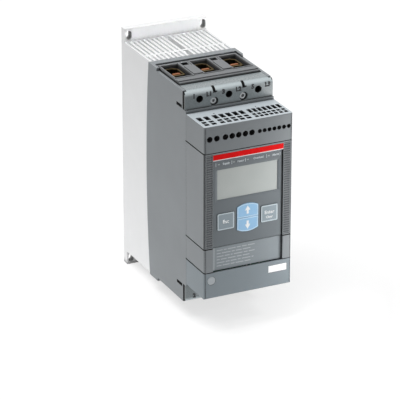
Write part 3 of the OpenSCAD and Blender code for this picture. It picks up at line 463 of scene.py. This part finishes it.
# Which finish each CAD node wears
wears = {
    "extrudedAluminium": ["heat_sink"],
    "greyPlastic": ["base_housing", "operator_housing", "label_band"],
    "wiringPlastic": ["wiring_cover"],
    "lowerPlastic": ["lower_cover"],
    "coverPlastic": ["line_terminal_cover", "load_terminal_cover"],
    "shroudPlastic": ["line_terminal_shroud", "load_terminal_shroud"],
    "blockPlastic": ["relay_terminal_block", "signal_terminal_block"],
    "brightSteel": ["line_cover_screws", "load_cover_screws", "line_clamp_screws", "load_clamp_screws",
                    "module_screws", "busbar_screws", "board_screws", "housing_screws"],
    "terminalSteel": ["relay_terminal_screws", "signal_terminal_screws"],
    "clampBrass": ["line_clamp_1", "line_clamp_2", "line_clamp_3", "load_clamp_1", "load_clamp_2",
                   "load_clamp_3"],
    "barCopper": ["line_busbar_1", "line_busbar_3", "load_busbar_1", "load_busbar_3", "through_busbar_2"],
    "modulePlastic": ["thyristor_module_1", "thyristor_module_3", "board_connector"],
    "insulatorRed": ["busbar_insulator"],
    "relayBlue": ["bypass_relay_1", "bypass_relay_3", "current_transformer_1", "current_transformer_3"],
    "boardGreen": ["power_board", "control_board", "display_board"],
    "switchBlack": ["key_switches"],
    "panelFilm": ["operator_panel"],
    "stripRed": ["colour_strip"],
    "windowClear": ["display_window"],
    "displayPale": ["display_module"],
    "lampClear": ["status_lamps"],
    "keyGrey": ["exit_key", "select_key"],
    "keyBlue": ["up_key", "down_key"],
    "plateSheet": ["rating_plate"],
    "markerWhite": ["marker_plate"],
}
for finish, wearers in wears.items():
    for nodeName in wearers:
        nodes[nodeName].data.materials.clear()
        nodes[nodeName].data.materials.append(finishes[finish])
dressed = sum(len(wearers) for wearers in wears.values())
print("nodes dressed:", dressed, "of", len(nodes))


# Drawing helpers: a piece is drawn flat, given its thickness and stood up to face the front
drawing = {"merge": 0.001, "cornerSegments": 4, "letterSteps": 3}
frontward = Matrix.Rotation(radians(90), 4, "X")


# Makes a finished piece of a bmesh and lets it ride on a body
def addPiece(name, bm, finish, body):
    bmesh.ops.remove_doubles(bm, verts=bm.verts, dist=drawing["merge"] * mm)
    bmesh.ops.recalc_face_normals(bm, faces=bm.faces)
    mesh = bpy.data.meshes.new(name)
    bm.to_mesh(mesh)
    bm.free()
    mesh.materials.append(finishes[finish])
    piece = bpy.data.objects.new(name, mesh)
    scene.collection.objects.link(piece)
    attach(piece, body)


# Gives a flat drawing its thickness, turns it and sets it on a plane
def standUp(bm, thickness, x, y, z, turn=frontward):
    bmesh.ops.recalc_face_normals(bm, faces=bm.faces)
    lifted = bmesh.ops.extrude_face_region(bm, geom=bm.faces[:], use_keep_orig=True)
    raised = [part for part in lifted["geom"] if isinstance(part, bmesh.types.BMVert)]
    bmesh.ops.translate(bm, vec=(0, 0, thickness * mm), verts=raised)
    bmesh.ops.transform(bm, matrix=Matrix.Translation(Vector((x, y, z)) * mm) @ turn, verts=bm.verts)


# Flat plate with square or rounded corners
def addPlate(bm, width, height, x=0.0, y=0.0, corner=0.0):
    made = bmesh.ops.create_grid(bm, x_segments=1, y_segments=1, size=0.5)["verts"]
    bmesh.ops.scale(bm, vec=(width * mm, height * mm, 1), verts=made)
    bmesh.ops.translate(bm, vec=(x * mm, y * mm, 0), verts=made)
    if corner:
        bmesh.ops.bevel(bm, geom=made, offset=corner * mm, affect="VERTICES", profile=0.5, material=-1,
                        segments=drawing["cornerSegments"])


# Leaves only a border of the faces drawn so far
def keepBorder(bm, width):
    bm.normal_update()
    inner = bm.faces[:]
    bmesh.ops.inset_region(bm, faces=inner, thickness=width * mm, use_even_offset=True, use_boundary=True)
    bmesh.ops.delete(bm, geom=inner, context="FACES")


# Letters as a flat mesh, added to a drawing
def addWord(bm, word, size, x, y, bold):
    curve = bpy.data.curves.new("word", "FONT")
    curve.body = word
    curve.size = size * mm
    curve.offset = bold * mm
    curve.align_x = "CENTER"
    curve.align_y = "CENTER"
    curve.resolution_u = drawing["letterSteps"]
    holder = bpy.data.objects.new("word", curve)
    flat = bpy.data.meshes.new_from_object(holder)
    before = len(bm.verts)
    bm.from_mesh(flat)
    bm.verts.ensure_lookup_table()
    bmesh.ops.translate(bm, vec=(x * mm, y * mm, 0), verts=bm.verts[before:])
    bpy.data.objects.remove(holder)
    bpy.data.curves.remove(curve)
    bpy.data.meshes.remove(flat)


# Grip strips: rows of small points in the two recessed fields
gripStrip = {"inner": 36.6, "outer": 42.6, "low": -34.1, "high": 57.6, "floor": -186.1, "base": 0.1,
             "point": 0.28, "columns": 5, "rows": 40, "tolerance": 0.01}


def makeGrip(name, side):
    bm = bmesh.new()
    width = gripStrip["outer"] - gripStrip["inner"]
    height = gripStrip["high"] - gripStrip["low"]
    bmesh.ops.create_grid(bm, x_segments=gripStrip["columns"], y_segments=gripStrip["rows"], size=0.5)
    bmesh.ops.scale(bm, vec=(width * mm, height * mm, 1), verts=bm.verts)
    standUp(bm, gripStrip["base"], side * (gripStrip["inner"] + width / 2), gripStrip["floor"],
            gripStrip["low"] + height / 2)
    front = min(vert.co.y for vert in bm.verts) + gripStrip["tolerance"] * mm
    facing = [face for face in bm.faces if face.calc_center_median().y < front]
    bmesh.ops.recalc_face_normals(bm, faces=bm.faces)
    bmesh.ops.poke(bm, faces=facing, offset=gripStrip["point"] * mm)
    addPiece(name, bm, "gripPlastic", "unit")


makeGrip("gripLeft", -1)
makeGrip("gripRight", 1)
print("grip strips made")


# Painted highlights as pale rims round the keys, and the keys' marks
keyRim = {"face": -185.5, "proud": 0.08, "width": 1.0, "keyX": 22.4, "keyZ": -10.6, "keyWide": 17.2,
          "keyHigh": 16.6, "corner": 1.2, "inset": 0.2, "wordBold": 0.08}


def makeKeyRim(name, body, x):
    bm = bmesh.new()
    shrink = 2 * keyRim["inset"]
    addPlate(bm, keyRim["keyWide"] - shrink, keyRim["keyHigh"] - shrink, corner=keyRim["corner"])
    keepBorder(bm, keyRim["width"])
    standUp(bm, keyRim["proud"], x, keyRim["face"], keyRim["keyZ"])
    addPiece(name, bm, "rimInk", body)


makeKeyRim("exitRim", "exit_key", -keyRim["keyX"])
makeKeyRim("selectRim", "select_key", keyRim["keyX"])

arrowKey = {"wide": 21.6, "sideHigh": 22.4, "crown": 2.8, "split": 0.2, "rim": 0.9, "inset": 0.2,
            "segments": 60, "markWide": 5.6, "markHigh": 8.2, "shaft": 2.2, "head": 4.6, "markLift": 7.6}
arrowRadius = (arrowKey["wide"] ** 2 / 4 + arrowKey["crown"] ** 2) / (2 * arrowKey["crown"])


def makeArrowRim(name, body, up):
    bm = bmesh.new()
    edge = arrowKey["wide"] / 2 - arrowKey["inset"]
    top = arrowKey["sideHigh"] / 2 + arrowKey["crown"] - arrowKey["inset"]
    low = arrowKey["split"] + arrowKey["inset"]
    bmesh.ops.create_circle(bm, cap_ends=True, segments=arrowKey["segments"], radius=arrowRadius * mm)
    bmesh.ops.translate(bm, vec=(0, (top - arrowRadius) * mm, 0), verts=bm.verts)
    for point, normal in (((edge, 0), (1, 0)), ((-edge, 0), (-1, 0)), ((0, low), (0, -1))):
        bmesh.ops.bisect_plane(bm, geom=bm.verts[:] + bm.edges[:] + bm.faces[:], clear_outer=True,
                               plane_co=(point[0] * mm, point[1] * mm, 0), plane_no=(*normal, 0))
    keepBorder(bm, arrowKey["rim"])
    bmesh.ops.scale(bm, vec=(1, up, 1), verts=bm.verts)
    standUp(bm, keyRim["proud"], 0, keyRim["face"], keyRim["keyZ"])
    addPiece(name, bm, "rimBlueInk", body)


def makeArrowMark(name, body, up):
    bm = bmesh.new()
    half, shaft = arrowKey["markWide"] / 2, arrowKey["shaft"] / 2
    tip = arrowKey["markHigh"] / 2
    neck = tip - arrowKey["head"]
    outline = [(0, tip), (-half, neck), (-shaft, neck), (-shaft, -tip), (shaft, -tip), (shaft, neck),
               (half, neck)]
    bm.faces.new([bm.verts.new((x * mm, y * mm, 0)) for x, y in outline])
    bmesh.ops.translate(bm, vec=(0, arrowKey["markLift"] * mm, 0), verts=bm.verts)
    bmesh.ops.scale(bm, vec=(1, up, 1), verts=bm.verts)
    standUp(bm, keyRim["proud"], 0, keyRim["face"], keyRim["keyZ"])
    addPiece(name, bm, "whiteInk", body)


for label, body, up in (("up", "up_key", 1), ("down", "down_key", -1)):
    makeArrowRim(label + "Rim", body, up)
    makeArrowMark(label + "Mark", body, up)

# Each key's words, their sizes and heights
keyWords = {
    "exitWord": ("exit_key", -keyRim["keyX"], [("Esc", 5.0, -0.4)]),
    "selectWord": ("select_key", keyRim["keyX"], [("Enter", 4.6, 1.0), ("Clear", 3.2, -3.8)]),
}
for name, (body, x, lines) in keyWords.items():
    bm = bmesh.new()
    for word, size, y in lines:
        addWord(bm, word, size, 0, y, keyRim["wordBold"])
    standUp(bm, keyRim["proud"], x, keyRim["face"], keyRim["keyZ"])
    addPiece(name, bm, "whiteInk", body)
print("key rims and marks made")


# Status row: words and upright bars beside the lamps
statusRow = {"face": -185.0, "proud": 0.06, "z": 46.6, "wordSize": 2.7, "bold": 0.09, "barWide": 0.4,
             "barHigh": 3.4, "bars": (-32.4, -16.3, -2.4, 19.2, 33.2),
             "words": (("Supply", -21.9), ("Motor", -7.2), ("Overload", 10.9), ("Alarm", 28.4))}
bm = bmesh.new()
for word, x in statusRow["words"]:
    addWord(bm, word, statusRow["wordSize"], x, 0, statusRow["bold"])
for x in statusRow["bars"]:
    addPlate(bm, statusRow["barWide"], statusRow["barHigh"], x)
standUp(bm, statusRow["proud"], 0, statusRow["face"], statusRow["z"])
addPiece("statusRow", bm, "paleInk", "unit")
print("status row made")


# Terminal numbers on the two covers
coverMarks = {"face": -145.6, "proud": 0.05, "z": 100.2, "size": 5.7, "bold": 0.36, "shift": 0.8,
              "phases": 3, "pitch": 30.0, "number": -6.4, "letters": 9.0}
for name, side, letter, first in (("lineMarks", 1, "L", 1), ("loadMarks", -1, "T", 2)):
    bm = bmesh.new()
    for phase in range(coverMarks["phases"]):
        x = (phase - 1) * coverMarks["pitch"] + coverMarks["shift"]
        for word, place in ((str(first + 2 * phase), "number"), (letter + str(phase + 1), "letters")):
            addWord(bm, word, coverMarks["size"], x + coverMarks[place], 0, coverMarks["bold"])
    standUp(bm, coverMarks["proud"], 0, coverMarks["face"], side * coverMarks["z"])
    addPiece(name, bm, "darkInk", "unit")
print("terminal marks made")


# Painted shade: dark rims that widen the shadowed wire entries on the ledge
# Each row has its middle, its length and the rims before and behind
wireEntries = {"top": 85.5, "front": -186.5, "proud": 0.04, "side": 0.3, "relayWide": 4.0, "signalWide": 2.9,
               "relays": [-39.4, -32.2] + [-23.5 + 6.7 * step for step in range(5)],
               "signals": [11.3 + 4.95 * step for step in range(7)],
               "rows": ((20.3, 7.0, 0.5, 1.5), (11.8, 3.6, 0.3, 0.3), (6.6, 2.8, 1.3, 0.2))}


def addEntryRim(bm, x, y, wide, deep, before, behind):
    side = wireEntries["side"]
    for direction in (-1, 1):
        addPlate(bm, side, deep, x + direction * (wide + side) / 2, y)
    addPlate(bm, wide + 2 * side, before, x, y - (deep + before) / 2)
    addPlate(bm, wide + 2 * side, behind, x, y + (deep + behind) / 2)


bm = bmesh.new()
for columns, wide in (("relays", "relayWide"), ("signals", "signalWide")):
    for x in wireEntries[columns]:
        for y, deep, before, behind in wireEntries["rows"]:
            addEntryRim(bm, x, y, wireEntries[wide], deep, before, behind)
standUp(bm, wireEntries["proud"], 0, wireEntries["front"], wireEntries["top"], Matrix.Identity(4))
addPiece("entryRims", bm, "shadeInk", "unit")
print("wire entries rimmed")


# Rating plate: blank ruled rows, broken into short runs on its left, and a pale left edge
ratingTable = {"face": -184.3, "proud": 0.05, "z": -47.5, "left": -31.0, "rowTop": 8.2, "pitch": 3.1,
               "line": 0.9, "gap": 1.2, "edgeX": -33.9, "edgeWide": 1.2, "edgeHigh": 22.2,
               "runs": ((6, 3, 8, 4, 5, 7), (4, 9, 3, 6, 8), (7, 5, 2, 9, 4, 6), (3, 6, 8, 5, 7),
                        (8, 4, 6, 3, 9, 2), (5, 7, 4, 8, 6))}
bm = bmesh.new()
for row, runs in enumerate(ratingTable["runs"]):
    start = ratingTable["left"]
    height = ratingTable["rowTop"] - row * ratingTable["pitch"]
    for run in runs:
        addPlate(bm, run, ratingTable["line"], start + run / 2, height)
        start += run + ratingTable["gap"]
standUp(bm, ratingTable["proud"], 0, ratingTable["face"], ratingTable["z"])
addPiece("ratingLines", bm, "tableInk", "unit")
bm = bmesh.new()
addPlate(bm, ratingTable["edgeWide"], ratingTable["edgeHigh"], ratingTable["edgeX"])
standUp(bm, ratingTable["proud"], 0, ratingTable["face"], ratingTable["z"])
addPiece("ratingEdge", bm, "tableInk", "unit")
print("rating plate ruled")


# Plain disc in the round recess of the lower cover
roundMark = {"x": -37.4, "z": -67.7, "radius": 4.0, "floor": -186.2, "proud": 0.2, "segments": 48}
bm = bmesh.new()
bmesh.ops.create_circle(bm, cap_ends=True, segments=roundMark["segments"], radius=roundMark["radius"] * mm)
standUp(bm, roundMark["proud"], roundMark["x"], roundMark["floor"], roundMark["z"])
addPiece("roundMark", bm, "discSheet", "unit")
print("round mark made")


# Studio: white surroundings, a soft sun overhead, a thin gleam from the right front, a panel on the left,
# a strip on the right and a small lamp for the back plate; lengths here are in metres
studio = {
    "fill": 0.425, "white": 1.0,
    "sun": {"kind": "SUN", "power": 2.3, "place": (-0.75, 0.25, 2.0), "soft": 40},
    "gleam": {"kind": "SUN", "power": 0.2, "place": (0.8, -0.78, 1.66), "soft": 8},
    "left": {"kind": "AREA", "power": 0.135, "place": (-0.36, 0.06, -0.09), "aim": (0, -0.05, -0.03),
             "size": (0.24, 0.06)},
    "strip": {"kind": "AREA", "power": 0.27, "place": (0.115, -0.25, -0.03), "aim": (0.0, -0.1865, -0.03),
              "size": (0.04, 0.26)},
    "ear": {"kind": "AREA", "power": 0.04, "place": (0.1, -0.6, 0.34), "aim": (0.0, -0.004, 0.117),
            "size": (0.3, 0.03), "spread": 12},
    "floorSize": 8.0, "floorSeen": 0.98, "floorGlow": 0.65, "floorNear": 0.85, "floorFar": 0.1,
    "floorReach": (0.15, 0.55), "floorRough": 0.9, "floorGloss": 0.0,
}


# 1 for rays that go straight to the eye, off a gloss or through glass
def seenDirectly(tree):
    path = addNode(tree, "ShaderNodeLightPath")
    direct = mathField(tree, "MAXIMUM", path.outputs["Is Camera Ray"], path.outputs["Is Glossy Ray"])
    return mathField(tree, "MAXIMUM", direct, path.outputs["Is Transmission Ray"])


def mixShaders(tree, factor, first, second):
    mixed = addNode(tree, "ShaderNodeMixShader")
    for socket, source in zip(mixed.inputs, (factor, first, second)):
        tree.links.new(source, socket)
    return mixed.outputs["Shader"]


world = bpy.data.worlds.new("studioWorld")
scene.world = world
world.use_nodes = True
tree = world.node_tree
tree.nodes.clear()
grounds = [addNode(tree, "ShaderNodeBackground", {"Color": (1, 1, 1, 1), "Strength": studio[key]})
           for key in ("fill", "white")]
surroundings = mixShaders(tree, seenDirectly(tree), *(ground.outputs["Background"] for ground in grounds))
tree.links.new(surroundings, addNode(tree, "ShaderNodeOutputWorld").inputs["Surface"])

for lampName in ("sun", "gleam", "left", "strip", "ear"):
    look = studio[lampName]
    lampData = bpy.data.lights.new(lampName + "Light", look["kind"])
    lampData.energy = look["power"]
    lamp = bpy.data.objects.new(lampName + "Light", lampData)
    if look["kind"] == "SUN":
        lampData.angle = radians(look["soft"])
    else:
        lampData.shape = "RECTANGLE"
        lampData.size, lampData.size_y = look["size"]
        lampData.spread = radians(look.get("spread", 180))
        lamp.visible_camera = False
    lamp.location = look["place"]
    sight = Vector(look.get("aim", (0, 0, 0))) - Vector(look["place"])
    lamp.rotation_euler = sight.to_track_quat("-Z", "Y").to_euler()
    scene.collection.objects.link(lamp)

bm = bmesh.new()
bmesh.ops.create_grid(bm, x_segments=1, y_segments=1, size=studio["floorSize"] / 2)
bmesh.ops.translate(bm, vec=(0, 0, cadBounds[0][2]), verts=bm.verts)
floorMesh = bpy.data.meshes.new("floor")
bm.to_mesh(floorMesh)
bm.free()
floor = bpy.data.objects.new("floor", floorMesh)
scene.collection.objects.link(floor)
floorMaterial, tree, shader = newMaterial("paleFloor")
far = addNode(tree, "ShaderNodeVectorMath", operation="LENGTH")
tree.links.new(objectPoints(tree, (1, 1, 0)), far.inputs[0])
fade = spread(tree, far.outputs["Value"], 0, 1, *studio["floorReach"])
near, away, seen = ((studio[key],) * 3 for key in ("floorNear", "floorFar", "floorSeen"))
bounce = blendColours(tree, fade, near, away)
tree.links.new(blendColours(tree, seenDirectly(tree), bounce, seen), shader.inputs["Base Color"])
shader.inputs["Roughness"].default_value = studio["floorRough"]
shader.inputs["Specular IOR Level"].default_value = studio["floorGloss"]
glow = addNode(tree, "ShaderNodeEmission", {"Color": (1, 1, 1, 1), "Strength": studio["white"]})
glowing = mathField(tree, "MULTIPLY", seenDirectly(tree), number=studio["floorGlow"])
ground = mixShaders(tree, glowing, shader.outputs["BSDF"], glow.outputs["Emission"])
tree.links.new(ground, tree.nodes["Material Output"].inputs["Surface"])
floorMesh.materials.append(floorMaterial)
print("studio set")
